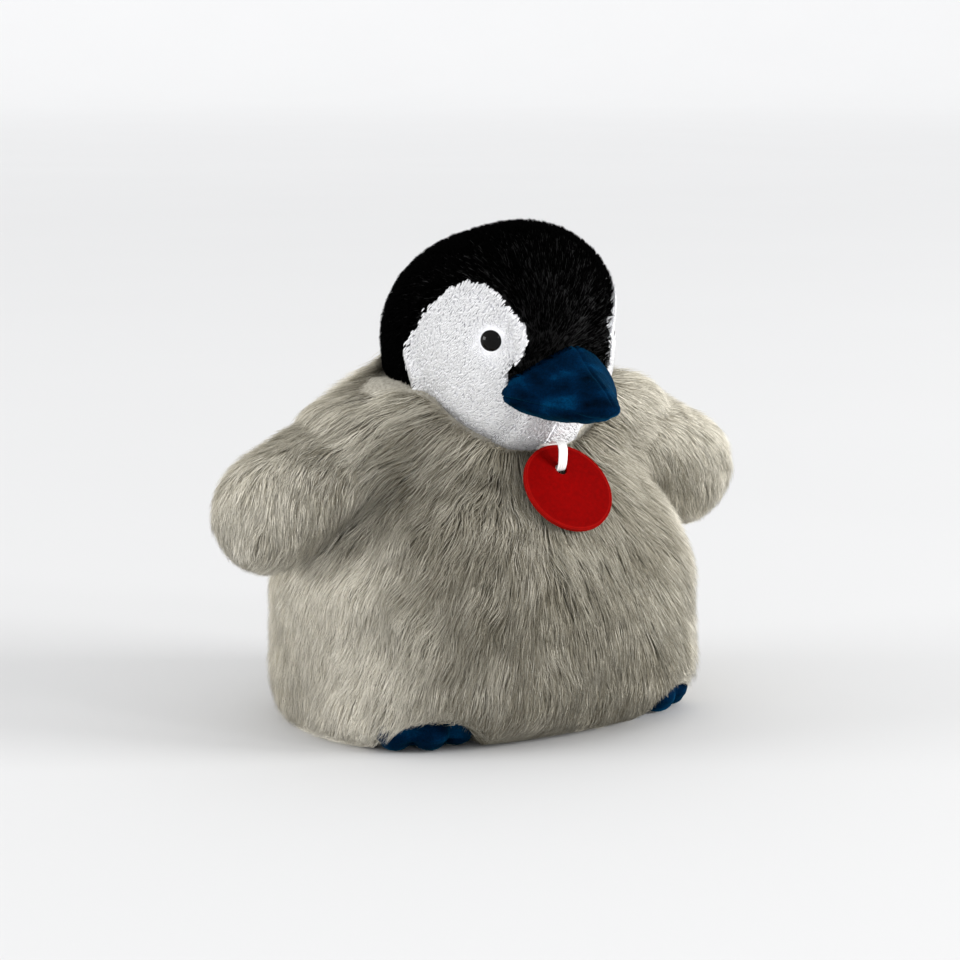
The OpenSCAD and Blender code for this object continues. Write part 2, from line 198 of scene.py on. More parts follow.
# Each cheek is two rounds let into the head: the direction of the middle, and the radius
CHEEKS = [(bearing(55, 8), 26), (bearing(52, -22), 25)]
CHEEK_INSET = 2.2
CHEEK_EDGE = 6
EYE_DIMPLE = 2.4
EYE_DIMPLE_R = 9
BROW_BLEND = 8
BACK_FULLNESS = 3.2


def head_surface(p):
    """A ball, fuller behind, joined to a forehead. The cheeks lie lower, and each eye has a dimple."""
    q = p - HEAD_C
    around = unit(q)
    sideways = np.clip(0.84 * np.abs(around[..., 0]) + 0.55 * around[..., 1], 0, 1)
    full = sideways * np.clip(around[..., 2] + 0.4, 0, 1)
    ball = np.linalg.norm(q, axis=-1) - HEAD_R - BACK_FULLNESS * full * np.clip(around[..., 1] + 0.35, 0, 1)
    brow = np.linalg.norm(p - BROW, axis=-1) - BROW_R
    d = join(ball, brow, BROW_BLEND)
    left = np.stack([np.abs(q[..., 0]), q[..., 1], q[..., 2]], -1)
    inset = np.zeros(d.shape)
    for axis, radius in CHEEKS:
        off = np.linalg.norm(left - (left @ axis)[..., None] * axis, axis=-1)
        edge = np.clip((radius - off) / CHEEK_EDGE, 0, 1)
        inset = np.maximum(inset, edge * edge * (3 - 2 * edge))
    d = d + CHEEK_INSET * inset
    for axis in EYE_AXES:
        away = np.linalg.norm(q - HEAD_R * axis, axis=-1)
        d = d + EYE_DIMPLE * np.exp(-(away / EYE_DIMPLE_R) ** 2)
    return d


def gradient(surface, p):
    step = 0.4
    out = np.empty_like(p)
    for k in range(3):
        d = np.zeros(3)
        d[k] = step
        out[..., k] = (surface(p + d) - surface(p - d)) / (2 * step)
    return out


def unit(v):
    return v / np.maximum(np.linalg.norm(v, axis=-1, keepdims=True), 1e-9)


def settle(surface, p, depth, times=2):
    """Moves points to lie that deep under the surface, and returns them and the surface's direction there."""
    for _ in range(times):
        g = gradient(surface, p)
        size = np.maximum(np.linalg.norm(g, axis=-1), 1e-6)
        p = p - g * ((surface(p) + depth) / size ** 2)[..., None]
    return p, unit(gradient(surface, p))


HALVINGS = 26


def cast(surface, centre, out, level, farthest=90):
    """The points where the lines from the centre along out cross the surface's level."""
    near, far = np.zeros(out.shape[:-1]), np.full(out.shape[:-1], float(farthest))
    for _ in range(HALVINGS):
        middle = (near + far) / 2
        beyond = surface(centre + out * middle[..., None]) > level
        near, far = np.where(beyond, near, middle), np.where(beyond, middle, far)
    return centre + out * near[..., None]


def circle(count):
    """That many angles, evenly round a full turn."""
    return np.linspace(0, 2 * math.pi, count + 1)[:-1]


def ball_directions(around, up):
    """Directions from a ball's middle in level rings, from the lowest ring to the highest."""
    rise = np.linspace(-1, 1, up + 2)[1:-1] * math.pi / 2
    return np.array([[[math.cos(e) * math.cos(a), math.cos(e) * math.sin(a), math.sin(e)]
                      for a in circle(around)] for e in rise])


def squared(value, power):
    """Bends a sine or cosine, so that a circle turns into a rounder or a squarer outline."""
    return np.sign(value) * np.abs(value) ** power


def ripple(p, wavelength, seed):
    """Smooth noise from -1 to 1 that changes over about that many millimetres."""
    r = np.random.default_rng(seed)
    total = 0
    for _ in range(6):
        direction = unit(r.normal(size=3)) * 2 * math.pi / (wavelength * r.uniform(0.7, 1.5))
        total = total + np.sin(p @ direction + r.uniform(0, 2 * math.pi))
    return total / 3.2


def ripples(p, wavelength, seed):
    """Three of them, as the parts of a vector."""
    return np.stack([ripple(p, wavelength, seed + k) for k in range(3)], -1)


# ---- Materials -----------------------------------------------------------------------------

def linear(hex_code):
    values = [int(hex_code[i:i + 2], 16) / 255 for i in (0, 2, 4)]
    return tuple(v / 12.92 if v <= 0.04045 else ((v + 0.055) / 1.055) ** 2.4 for v in values) + (1,)


class Nodes:
    """Short forms for building one material's nodes."""

    def __init__(self, name):
        self.material = bpy.data.materials.new(name)
        self.material.use_nodes = True
        self.tree = self.material.node_tree
        self.shader = self.tree.nodes["Principled BSDF"]

    def add(self, kind, **values):
        node = self.tree.nodes.new(kind)
        for key, value in values.items():
            setattr(node, key, value)
        return node

    def link(self, source, target):
        self.tree.links.new(source, target)

    def set(self, **values):
        for key, value in values.items():
            self.shader.inputs[key.replace("_", " ")].default_value = value

    def coordinates(self):
        return self.add("ShaderNodeTexCoord").outputs["Object"]

    def noise(self, scale, detail=2.0, vector=None, stretch=None):
        node = self.add("ShaderNodeTexNoise")
        node.inputs["Scale"].default_value = scale
        node.inputs["Detail"].default_value = detail
        source = vector or self.coordinates()
        if stretch:
            mapping = self.add("ShaderNodeMapping")
            mapping.inputs["Scale"].default_value = stretch
            self.link(source, mapping.inputs["Vector"])
            source = mapping.outputs["Vector"]
        self.link(source, node.inputs["Vector"])
        return node.outputs["Fac"]

    def ramp(self, factor, stops):
        node = self.add("ShaderNodeValToRGB")
        elements = node.color_ramp.elements
        while len(elements) < len(stops):
            elements.new(0.5)
        for element, (place, colour) in zip(elements, stops):
            element.position = place
            element.color = colour
        self.link(factor, node.inputs["Fac"])
        return node.outputs["Color"]

    def mix(self, blend, factor, a, b):
        node = self.add("ShaderNodeMix", data_type="RGBA", blend_type=blend)
        for socket, value in ((node.inputs["Factor"], factor), (node.inputs["A"], a), (node.inputs["B"], b)):
            if isinstance(value, bpy.types.NodeSocket):
                self.link(value, socket)
            elif socket.type == "RGBA":
                node.inputs[6 if socket == node.inputs["A"] else 7].default_value = value
            else:
                socket.default_value = value
        return node.outputs[2]

    def bump(self, height, strength, distance):
        node = self.add("ShaderNodeBump")
        node.inputs["Strength"].default_value = strength
        node.inputs["Distance"].default_value = distance
        self.link(height, node.inputs["Height"])
        self.link(node.outputs["Normal"], self.shader.inputs["Normal"])


def pile_material(name, root, tip, shade_low, shade_high, roughness=0.7, gloss=0.25):
    """Fur: the colour runs from root to tip, and each hair and each clump has its own shade; on the body fur
    these shades also hold painted light and shade.
    """
    n = Nodes(name)
    tone = n.add("ShaderNodeVertexColor", layer_name="tone")
    split = n.add("ShaderNodeSeparateColor")
    n.link(tone.outputs["Color"], split.inputs["Color"])
    along = n.ramp(split.outputs["Red"], [(0.0, root), (0.75, tip)])
    shade = n.ramp(split.outputs["Green"], [(0.0, shade_low), (1.0, shade_high)])
    colour = n.mix("MULTIPLY", 1.0, along, shade)
    # The third channel: area shade, which on the body fur is partly painted light
    area = n.ramp(split.outputs["Blue"], [(0.0, shade_low), (1.0, shade_high)])
    colour = n.mix("MULTIPLY", 1.0, colour, area)
    n.link(colour, n.shader.inputs["Base Color"])
    n.set(Roughness=roughness, Specular_IOR_Level=gloss)
    return n.material


def skin_material(name, dark, light, grain=900):
    """The knitted backing under the pile."""
    n = Nodes(name)
    grain_height = n.noise(grain, 3)
    n.link(n.ramp(grain_height, [(0.3, dark), (0.7, light)]), n.shader.inputs["Base Color"])
    n.set(Roughness=0.9)
    n.bump(grain_height, 0.4, 0.0006)
    return n.material


def velour_material(name, deep, mid, lit):
    """Short-napped cloth: a fine grain, and patches of painted shade and painted sheen where the nap lies
    another way.
    """
    n = Nodes(name)
    painted_nap_sheen = n.noise(70, 3, stretch=(1, 1, 2.2))
    nap = n.noise(1500, 4)
    # Painted light: deep is painted shade and lit is painted sheen, spread in patches
    colour = n.ramp(painted_nap_sheen, [(0.25, deep), (0.52, mid), (0.8, lit)])
    grain = n.ramp(nap, [(0.3, (0.62, 0.62, 0.62, 1)), (0.7, (1.25, 1.25, 1.25, 1))])
    n.link(n.mix("MULTIPLY", 1.0, colour, grain), n.shader.inputs["Base Color"])
    n.set(Roughness=0.9, Specular_IOR_Level=0.015, Sheen_Weight=0.14, Sheen_Roughness=0.4,
          Sheen_Tint=(0.0, 0.3, 0.5, 1))
    n.bump(nap, 0.5, 0.0005)
    return n.material


def satin_material(name, dark, light, across=(1, 1, 1)):
    """Woven ribbon: fine parallel threads with a soft shine."""
    n = Nodes(name)
    threads = n.noise(1600, 2, stretch=across)
    n.link(n.ramp(threads, [(0.3, dark), (0.7, light)]), n.shader.inputs["Base Color"])
    n.set(Roughness=0.38, Specular_IOR_Level=0.5, Sheen_Weight=0.3, Sheen_Roughness=0.3)
    n.bump(threads, 0.35, 0.0002)
    return n.material


def fibre_material(name, dark, light, grain=420):
    """Loose white filling."""
    n = Nodes(name)
    fluff = n.noise(grain, 6, stretch=(1, 0.4, 1))
    n.link(n.ramp(fluff, [(0.3, dark), (0.7, light)]), n.shader.inputs["Base Color"])
    n.set(Roughness=0.95, Sheen_Weight=0.2)
    n.bump(fluff, 0.8, 0.002)
    return n.material


def plastic_material(name, dark, light, roughness, gloss=0.5):
    n = Nodes(name)
    flow = n.noise(160, 3)
    n.link(n.ramp(flow, [(0.35, dark), (0.65, light)]), n.shader.inputs["Base Color"])
    n.set(Roughness=roughness, Specular_IOR_Level=gloss)
    n.bump(n.noise(900, 2), 0.04, 0.0002)
    return n.material


def card_material(name, middle, radius, face, rim, centre_mm):
    """Coated card with a thin paler line just inside its edge."""
    n = Nodes(name)
    measure = n.add("ShaderNodeVectorMath", operation="DISTANCE")
    n.link(n.coordinates(), measure.inputs[0])
    measure.inputs[1].default_value = tuple(np.asarray(centre_mm) * MM)
    share = n.add("ShaderNodeMath", operation="DIVIDE")
    n.link(measure.outputs["Value"], share.inputs[0])
    share.inputs[1].default_value = radius * MM
    zone = n.ramp(share.outputs["Value"],
                  [(0.0, middle), (0.93, face), (0.955, rim), (0.975, face), (1.0, rim)])
    fibre = n.ramp(n.noise(600, 5), [(0.3, (0.86, 0.86, 0.86, 1)), (0.7, (1.1, 1.1, 1.1, 1))])
    n.link(n.mix("MULTIPLY", 1.0, zone, fibre), n.shader.inputs["Base Color"])
    n.set(Roughness=0.7, Specular_IOR_Level=0.02)
    n.bump(n.noise(500, 4), 0.12, 0.0003)
    return n.material


TAG_C = (low("hang_tag") + high("hang_tag")) / 2
TAG_R = (high("hang_tag")[0] - low("hang_tag")[0]) / 2

MATERIALS = {
    "velour": velour_material("velour", linear("000510"), linear("001a34"), linear("003c62")),
    "ribbon": satin_material("ribbon", linear("c9c8c6"), linear("f6f5f3"), (1, 0.15, 0.15)),
    "label": satin_material("label", linear("dcdcda"), linear("f4f4f2"), (1, 1, 0.2)),
    "thread": satin_material("thread", linear("b9b7b2"), linear("e6e4df"), (0.3, 1, 1)),
    "stuffing": fibre_material("stuffing", linear("cfcfca"), linear("f3f3ee")),
    "bag": skin_material("bag", linear("b9b6aa"), linear("dedbd0"), 1400),
    "pellets": fibre_material("pellets", linear("c8c8c8"), linear("f4f4f4"), 260),
    "eye": plastic_material("eye", linear("020202"), linear("0a0706"), 0.03, 0.14),
    "washer": plastic_material("washer", linear("b9b7ae"), linear("dcdad2"), 0.4),
    "card": card_material("card", linear("7c0000"), TAG_R, linear("730000"), linear("8c0c08"), TAG_C),
    "body_fur": pile_material("body_fur", linear("cfcabd"), linear("fffdf6"), (0.36, 0.34, 0.285, 1),
                              (1.0, 0.985, 0.95, 1)),
    "hood_fur": pile_material("hood_fur", (0, 0, 0, 1), linear("020202"), (0.6, 0.6, 0.6, 1),
                              (1, 1, 1, 1), roughness=1.0, gloss=0.012),
    "face_fur": pile_material("face_fur", linear("fbfbfd"), linear("ffffff"), (0.98, 0.98, 0.99, 1),
                              (1, 1, 1, 1)),
    "body_skin": skin_material("body_skin", linear("8d887c"), linear("b8b3a5")),
    "hood_skin": skin_material("hood_skin", linear("000000"), linear("030303")),
    "face_skin": skin_material("face_skin", linear("f0f0f4"), linear("fdfdff")),
}


# ---- Meshes --------------------------------------------------------------------------------

def mesh_object(name, verts, faces, material):
    mesh = bpy.data.meshes.new(name)
    mesh.from_pydata([tuple(v) for v in np.asarray(verts) * MM], [], faces)
    mesh.update()
    piece = bpy.data.objects.new(name, mesh)
    bpy.context.scene.collection.objects.link(piece)
    mesh.materials.append(MATERIALS[material])
    mesh.polygons.foreach_set("use_smooth", [True] * len(mesh.polygons))
    return piece


def grid_object(name, rings, material):
    """A closed form from rings of points, with a point at each end."""
    rings = np.asarray(rings)
    m, n = rings.shape[:2]
    verts = list(rings.reshape(-1, 3)) + [rings[0].mean(0), rings[-1].mean(0)]
    faces = []
    for j in range(m - 1):
        for i in range(n):
            k = (i + 1) % n
            faces.append((j * n + i, j * n + k, (j + 1) * n + k, (j + 1) * n + i))
    for i in range(n):
        k = (i + 1) % n
        faces.append((m * n, k, i))
        faces.append((m * n + 1, (m - 1) * n + i, (m - 1) * n + k))
    return mesh_object(name, verts, faces, material)


HAIR_SIDES = 3
# A hair's width at its root and at its last ring before the tip, as a share of its full width
HAIR_TAPER = 0.7


def hair_object(name, path, up, width, tone, material, flat):
    """Closed three-sided hairs. path, up and tone are (hairs, points, 3), and width is one per hair."""
    n, points = path.shape[:2]
    rings = points - 1
    tangent = unit(np.gradient(path, axis=1))
    side = unit(np.cross(tangent, up))
    lift = np.cross(side, tangent)
    profile = np.linspace(1, HAIR_TAPER, rings)
    profile[0] = HAIR_TAPER
    radius = (width[:, None] * profile)[..., None, None] / 2
    turn = 2 * math.pi * np.arange(HAIR_SIDES) / HAIR_SIDES
    ring = (np.cos(turn)[:, None] * side[:, :rings, None]
            + flat * np.sin(turn)[:, None] * lift[:, :rings, None])
    body = (path[:, :rings, None] + radius * ring).reshape(n, rings * HAIR_SIDES, 3)
    verts = np.concatenate([body, path[:, -1:]], axis=1)
    per = rings * HAIR_SIDES + 1
    quads = [(j * HAIR_SIDES + i, (j + 1) * HAIR_SIDES + i,
              (j + 1) * HAIR_SIDES + (i + 1) % HAIR_SIDES, j * HAIR_SIDES + (i + 1) % HAIR_SIDES)
             for j in range(rings - 1) for i in range(HAIR_SIDES)]
    last = (rings - 1) * HAIR_SIDES
    tris = [(last + i, per - 1, last + (i + 1) % HAIR_SIDES) for i in range(HAIR_SIDES)]
    tris += [tuple(range(HAIR_SIDES))]
    one = np.array([i for face in quads + tris for i in face])
    sizes = np.array([4] * len(quads) + [3] * len(tris))
    loops = (one[None] + per * np.arange(n)[:, None]).reshape(-1)
    totals = np.tile(sizes, n)
    mesh = bpy.data.meshes.new(name)
    mesh.vertices.add(n * per)
    mesh.vertices.foreach_set("co", (verts * MM).astype(np.float32).reshape(-1))
    mesh.loops.add(len(loops))
    mesh.loops.foreach_set("vertex_index", loops.astype(np.int32))
    mesh.polygons.add(len(totals))
    mesh.polygons.foreach_set("loop_start", (np.cumsum(totals) - totals).astype(np.int32))
    mesh.polygons.foreach_set("use_smooth", np.ones(len(totals), bool))
    mesh.update(calc_edges=True)
    colours = np.concatenate([np.repeat(tone[:, :rings], HAIR_SIDES, axis=1), tone[:, -1:]], axis=1)
    colours = np.concatenate([colours, np.ones((n, per, 1))], axis=2)
    layer = mesh.color_attributes.new("tone", "FLOAT_COLOR", "POINT")
    layer.data.foreach_set("color", colours.astype(np.float32).reshape(-1))
    lay_out_hairs(mesh, n, quads, tris, per, rings)
    mesh.materials.append(MATERIALS[material])
    piece = bpy.data.objects.new(name, mesh)
    bpy.context.scene.collection.objects.link(piece)
    return piece


def lay_out_hairs(mesh, n, quads, tris, per, rings):
    """A texture layout with a small cell of its own for every hair."""
    across = math.ceil(math.sqrt(n))
    cell = np.arange(n)
    corner = np.stack([cell % across, cell // across], -1) / across

    def place(index, turn):
        if index == per - 1:
            return 0.5, 1.0
        return turn / HAIR_SIDES, (index // HAIR_SIDES) / rings
    spots = []
    for face in quads + tris:
        wraps = {i % HAIR_SIDES for i in face if i != per - 1} == {0, HAIR_SIDES - 1}
        for i in face:
            turn = i % HAIR_SIDES
            spots.append(place(i, HAIR_SIDES if wraps and turn == 0 and i != per - 1 else turn))
    spots = 0.1 + 0.8 * np.array(spots)
    uv = corner[:, None] + spots[None] / across
    mesh.uv_layers.new(name="OFBake").data.foreach_set("uv", uv.astype(np.float32).reshape(-1))


# ---- Fur -----------------------------------------------------------------------------------

def nearest(points, centres, block=4000):
    out = np.empty(len(points), np.int64)
    c = centres.astype(np.float32)
    c2 = (c ** 2).sum(1)
    for i in range(0, len(points), block):
        p = points[i:i + block].astype(np.float32)
        out[i:i + block] = np.argmin(c2 - 2 * p @ c.T, axis=1)
    return out


def lay_hairs(surface, roots, depth, flow, length, tip_depth, points, floor=None):
    """Each hair's path from its root, along the surface the way flow says, to its tip's depth."""
    p, normal = settle(surface, roots, depth)
    path, ups = [p], [normal]
    for k in range(1, points):
        t = k / (points - 1)
        along = unit(flow(p) - normal * (flow(p) * normal).sum(-1, keepdims=True))
        step = p + along * (length / (points - 1))[:, None]
        ease = t ** 0.8
        step, normal = settle(surface, step, depth + (tip_depth - depth) * ease, 1)
        if floor is not None:
            step[:, 2] = np.maximum(step[:, 2], floor(step) + 0.5 * np.abs(ripple(step, 3, 5)))
        path.append(step)
        ups.append(normal)
        p = step
    return np.stack(path, 1), np.stack(ups, 1)


def clump(path, centres_path, index, amount):
    """Draws each hair's far end towards the path of its clump's middle hair."""
    t = np.linspace(0, 1, path.shape[1]) ** 1.3
    pull = (amount[:, None] * t)[..., None]
    return path + (centres_path[index] - path) * pull


def tones(path, hair_shade, area_shade):
    t = np.linspace(0, 1, path.shape[1])
    n = len(path)
    return np.stack([np.tile(t, (n, 1)), np.repeat(hair_shade[:, None], len(t), 1),
                     np.repeat(area_shade[:, None], len(t), 1)], -1)


LONG_POINTS = 4
# The most hairs in one piece
LONG_MOST = 12000
# How many hairs share a clump
BIG_CLUMP = 120
SMALL_CLUMP = 14
FEWEST_CLUMPS = 8


def long_fur(surface, roots, depth, flow, floor=None, length=(16, 27), light=0.0):
    """Long laid pile in clumps within clumps. light is painted light, added to each hair's shade and each
    area's shade on top of their random tone. Returns the paths, their up directions and tones.
    """
    n = len(roots)

    stray = 0.17 * rng.normal(size=(n, 3))

    def jittered(p):
        return unit(flow(p)) + 0.2 * ripples(p, 26, 11) + 0.16 * ripples(p, 9, 14) + stray
    lengths = rng.uniform(*length, n) * (1 + 0.15 * ripple(roots, 18, 3))
    rise = 0.8 * rng.normal(size=n) + 0.9 * ripple(roots, 9, 4)
    path, ups = lay_hairs(surface, roots, depth, jittered, lengths, -rise.clip(-3, 2.0), LONG_POINTS, floor)
    big = rng.choice(n, max(FEWEST_CLUMPS, n // BIG_CLUMP), replace=False)
    small = rng.choice(n, max(FEWEST_CLUMPS, n // SMALL_CLUMP), replace=False)
    big_of = nearest(roots, roots[big])
    small_of = nearest(roots, roots[small])
    strength = rng.uniform(0.05, 0.26, len(big))[big_of]
    fine = rng.uniform(0.2, 0.6, len(small))[small_of]
    merged = clump(path, path[small], small_of, fine)
    merged = clump(merged, merged[big], big_of, strength)
    spread = 0.28 * rng.normal(size=n) + 0.2 * rng.normal(size=len(small))[small_of]
    # hair_shade and area_shade: random tone, plus painted light from light
    hair_shade = np.clip(0.5 + 0.8 * light + spread, 0, 1)
    patchy = 0.08 * ripple(roots, 34, 21)
    area_shade = np.clip(0.5 + light + patchy + 0.05 * rng.normal(size=len(big))[big_of], 0, 1)
    return merged, ups, tones(merged, hair_shade, area_shade)


def fur_pieces(name, path, ups, tone, width, material, most, flat=0.4):
    """The hairs as one piece, or as numbered pieces of at most that many hairs."""
    count = math.ceil(len(path) / most)
    pieces = []
    for k, part in enumerate(np.array_split(np.arange(len(path)), count)):
        label = name if count == 1 else f"{name}_{k + 1}"
        pieces.append(hair_object(label, path[part], ups[part], width[part], tone[part], material, flat))
    return pieces


# ---- Torso ---------------------------------------------------------------------------------

PILE_DEPTH = 8
# Each panel's angles from the front, in degrees, and its side: 1 left, -1 right, 0 both
PANELS = {
    "chest_panel": (0, 46, 0), "flank_panel_left": (46, 128, 1), "flank_panel_right": (46, 128, -1),
    "back_panel_left": (128, 180, 1), "back_panel_right": (128, 180, -1),
}


def torso_points(count):
    """Random points on the torso's outline, evenly spread."""
    tries = count * 5
    angle = rng.uniform(0, 2 * math.pi, tries)
    z = rng.uniform(1.5, COLLAR_Z + 10, tries)
    p = np.stack([np.sin(angle) * HIP_X, -np.cos(angle) * BACK_Y, z], -1)
    for _ in range(6):
        scale = 1 + shoulder_surface(p) / np.minimum(np.linalg.norm(p[:, :2], axis=1), 90)
        p[:, :2] /= scale[:, None]
    g = gradient(shoulder_surface, p)
    slope = 1 / np.maximum(np.linalg.norm(unit(g)[:, :2], axis=1), 0.25)
    weight = slope * np.linalg.norm(p[:, :2], axis=1)
    keep = rng.uniform(0, weight.max(), tries) < weight
    return p[keep][:count]


def torso_flow(p):
    """Down and outwards, and nearly level over the shoulders towards the wings."""
    x = p[..., 0] / HIP_X
    out = np.zeros_like(p)
    out[..., 2] = -1
    out[..., 0] = 0.75 * x
    shoulder = fade_in(p[..., 2], 96, 34) * fade_in(np.abs(p[..., 0]), 14, 30)
    out[..., 0] += 2.2 * shoulder * np.sign(x)
    back = fade_in(p[..., 1], 0, 40) * fade_in(p[..., 2], 110, 30)
    out[..., 1] += 0.8 * back
    return out


TORSO_HAIRS = 118000


def make_torso():
    z = np.concatenate([np.linspace(0.2, 12, 7), np.linspace(18, COLLAR_Z - 6, 26)])
    angle = circle(96)
    ring = np.stack([np.sin(angle) * HIP_X, -np.cos(angle) * BACK_Y, np.zeros(len(angle))], -1)
    rings = np.stack([ring + [0, 0, h] for h in z])
    for _ in range(6):
        radius = np.linalg.norm(rings[..., :2], axis=-1)
        scale = 1 + (torso_surface(rings) + pile_depth(rings)) / radius
        rings[..., :2] /= scale[..., None]
    for _ in range(30):
        rings[..., :2] *= np.where(over_foot(rings, 21, 21, 19), 0.975, 1)[..., None]
    skin = grid_object("torso_skin", rings, "body_skin")
    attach(skin, "torso")
    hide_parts("torso_stuffing", "base_panel")

    roots = torso_points(TORSO_HAIRS)
    roots = roots[head_surface(roots) > -1.0]
    roots = roots[roots[:, 2] < collar_top(roots)]
    roots = roots[~over_foot(roots, 19, 20, 18)]
    # The fur's colour gets painted light here: paler flanks, back and collar, darker middle of the chest
    path, ups, tone = long_fur(shoulder_surface, roots, pile_depth(roots), torso_flow, fur_floor,
                               light=torso_painted_light(roots))
    path = clear_of_head(path)
    angle = np.degrees(np.abs(np.arctan2(roots[:, 0], -roots[:, 1])))
    width = rng.uniform(0.3, 0.46, len(roots))
    for panel, (start, end, side) in PANELS.items():
        chosen = (angle >= start) & (angle < end) & (np.sign(roots[:, 0]) != -side)
        pieces = fur_pieces(panel + "_fur", path[chosen], ups[chosen], tone[chosen], width[chosen],
                            "body_fur", LONG_MOST)
        for piece in pieces:
            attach(piece, "torso")
            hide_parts(panel)


def collar_top(p):
    """The collar stands high at the nape and drops towards the chin."""
    return COLLAR_Z + 0.17 * p[..., 1]


def torso_painted_light(p):
    """Painted light and shade: paler on the flanks, the back and the collar than down the middle of the
    chest.
    """
    side = fade_in(np.abs(p[:, 0]) / HIP_X, 0.55, 0.36)
    back = fade_in(p[:, 1], -10, 50)
    collar = 0.35 * fade_in(p[:, 2], 118, 22)
    return 0.62 * np.maximum(np.maximum(side, back), collar) - 0.1


def pile_depth(p):
    """How deep the hairs start: shallower up the collar, and deeper again at its very top."""
    return PILE_DEPTH - 5 * fade_in(p[..., 2], 112, 28) + 7 * fade_in(p[..., 2], 140, 8)


def beside_foot(p):
    """How far a point is outwards of the line that its foot points along."""
    return np.abs(p[..., 0]) - FOOT[0] - 0.2 * (FOOT[1] - p[..., 1])


def fore_foot(p):
    """True from a little behind a foot's middle forwards."""
    return p[..., 1] < FOOT[1] + 12


def over_foot(p, inwards, outwards, height):
    """True in the room in the belly's lower front where a foot stands."""
    off = beside_foot(p)
    return (off > -inwards) & (off < outwards) & fore_foot(p) & (p[..., 2] < height)


def fur_floor(p):
    """The lowest that a hair may lie: the ground, or an arch over a foot with wisps that hang lower."""
    arch = np.sqrt(np.clip(1 - (beside_foot(p) / 20) ** 2, 0, 1)) * fore_foot(p)
    return 0.5 + arch * (16.5 - 3.5 * np.clip(ripple(p, 3.5, 91), 0, 1))


def clear_of_head(path):
    """Moves hairs out of the head's ball and forehead."""
    gap = 0.8
    for centre, radius in ((HEAD_C, HEAD_R), (BROW, BROW_R)):
        q = path - centre
        r = np.linalg.norm(q, axis=-1, keepdims=True)
        path = centre + q * np.maximum(r, radius + gap) / r
    return path


# ---- Wings ---------------------------------------------------------------------------------

WING_HAIRS = 26000
WING_SKIN_DEPTH = 7


def wing_points(count):
    """Random points on the left wing's outline, evenly spread."""
    lo, hi = low("wing_left_front"), high("wing_left_back")
    tries = count * 8
    p = rng.uniform(lo - [30, 6, 6], hi + 6, (tries, 3))
    p = p[np.abs(wing_surface(p)) < 5]
    p, _ = settle(wing_surface, p, 0)
    return p[:count]


def wing_flow(p):
    """Outwards along the top, and fanning down over the faces and the end."""
    axis = unit(WING_TIP - WING_ROOT)
    top = fade_in(p[..., 2], WING_ROOT[2] - 12, 36)
    end = fade_in(p[..., 0], 88, 36)
    out = axis * (0.35 + 1.2 * top)[..., None]
    out[..., 2] -= 0.9 * (1 - top) + 1.1 * end
    return out


def make_wing(side):
    sign = 1 if side == "left" else -1
    mirror = np.array([sign, 1, 1])
    turns = circle(48)
    axis = unit(WING_TIP - WING_ROOT)
    cross = np.cross(axis, [0, 1, 0])
    whole = np.linalg.norm(WING_TIP - WING_ROOT) + WING_R + WING_TIP_R
    wide = 30
    rings = []
    for u in np.linspace(0, 1, 30):
        centre = WING_ROOT - axis * WING_R + axis * whole * u
        ring = centre + wide * (np.cos(turns)[:, None] * np.array([0, 1, 0]) + np.sin(turns)[:, None] * cross)
        rings.append(ring)
    rings = np.array(rings)
    # Each ring shrinks in its own plane onto the surface that lies that deep
    middle = rings.mean(1, keepdims=True)
    for _ in range(8):
        r = np.linalg.norm(rings - middle, axis=-1, keepdims=True)
        d = (wing_surface(rings) + WING_SKIN_DEPTH)[..., None]
        rings = middle + (rings - middle) * np.clip(1 - d / np.maximum(r, 1), 0.05, 2)
    skin = grid_object(f"wing_{side}_skin", rings * mirror, "body_skin")
    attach(skin, f"wing_{side}")
    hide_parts(f"wing_{side}_stuffing")

    roots = wing_points(WING_HAIRS)
    roots = roots[shoulder_surface(roots) > -4]
    # Painted light: the wing's fur is painted paler towards its end
    path, ups, tone = long_fur(wing_surface, roots, WING_SKIN_DEPTH, wing_flow, length=(13, 24),
                               light=0.06 + 0.36 * fade_in(roots[:, 0], 84, 36))
    path = path * mirror
    ups = ups * mirror
    width = rng.uniform(0.3, 0.46, len(roots))
    for face, chosen in (("front", roots[:, 1] < 0), ("back", roots[:, 1] >= 0)):
        pieces = fur_pieces(f"wing_{side}_{face}_fur", path[chosen], ups[chosen], tone[chosen], width[chosen],
                            "body_fur", LONG_MOST)
        for piece in pieces:
            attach(piece, f"wing_{side}")
            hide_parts(f"wing_{side}_{face}")


# ---- Head ----------------------------------------------------------------------------------

SHORT_POINTS = 3
SHORT_MOST = 19000
# How deep the skin lies and the hairs start, under the hood and under the white face
HEAD_DEPTH = 2.6
FACE_DEPTH = 0.5
# Each pile: its depth at the root, how rough it is, how much deeper its tips lie at an eye, and how thick
# its hairs are for their width
HOOD_PILE = {"depth": HEAD_DEPTH, "rough": 1.0, "dip": 1.0, "flat": 0.4}
FACE_PILE = {"depth": FACE_DEPTH, "rough": 0.08, "dip": 0.3, "flat": 0.2}
# Half the width of the middle panels of the hood and the face
MIDDLE_X = 14
# The white face patch: the angle from the front towards that side and the angle above level
PATCH = [(22, 7), (26, 18), (38, 31), (55, 36), (73, 28), (85, 6), (83, -12), (72, -30), (52, -48),
         (20, -60), (-20, -60), (-20, -24), (20, -20), (31, -8)]


def smooth_outline(points):
    """A closed curve through the points."""
    steps = 6
    p = np.array(points, float)
    out = []
    for i in range(len(p)):
        a, b, c, d = (p[(i + k) % len(p)] for k in (-1, 0, 1, 2))
        for t in np.linspace(0, 1, steps, endpoint=False):
            out.append(0.5 * (2 * b + (c - a) * t + (2 * a - 5 * b + 4 * c - d) * t ** 2
                              + (3 * b - a - 3 * c + d) * t ** 3))
    return np.array(out)


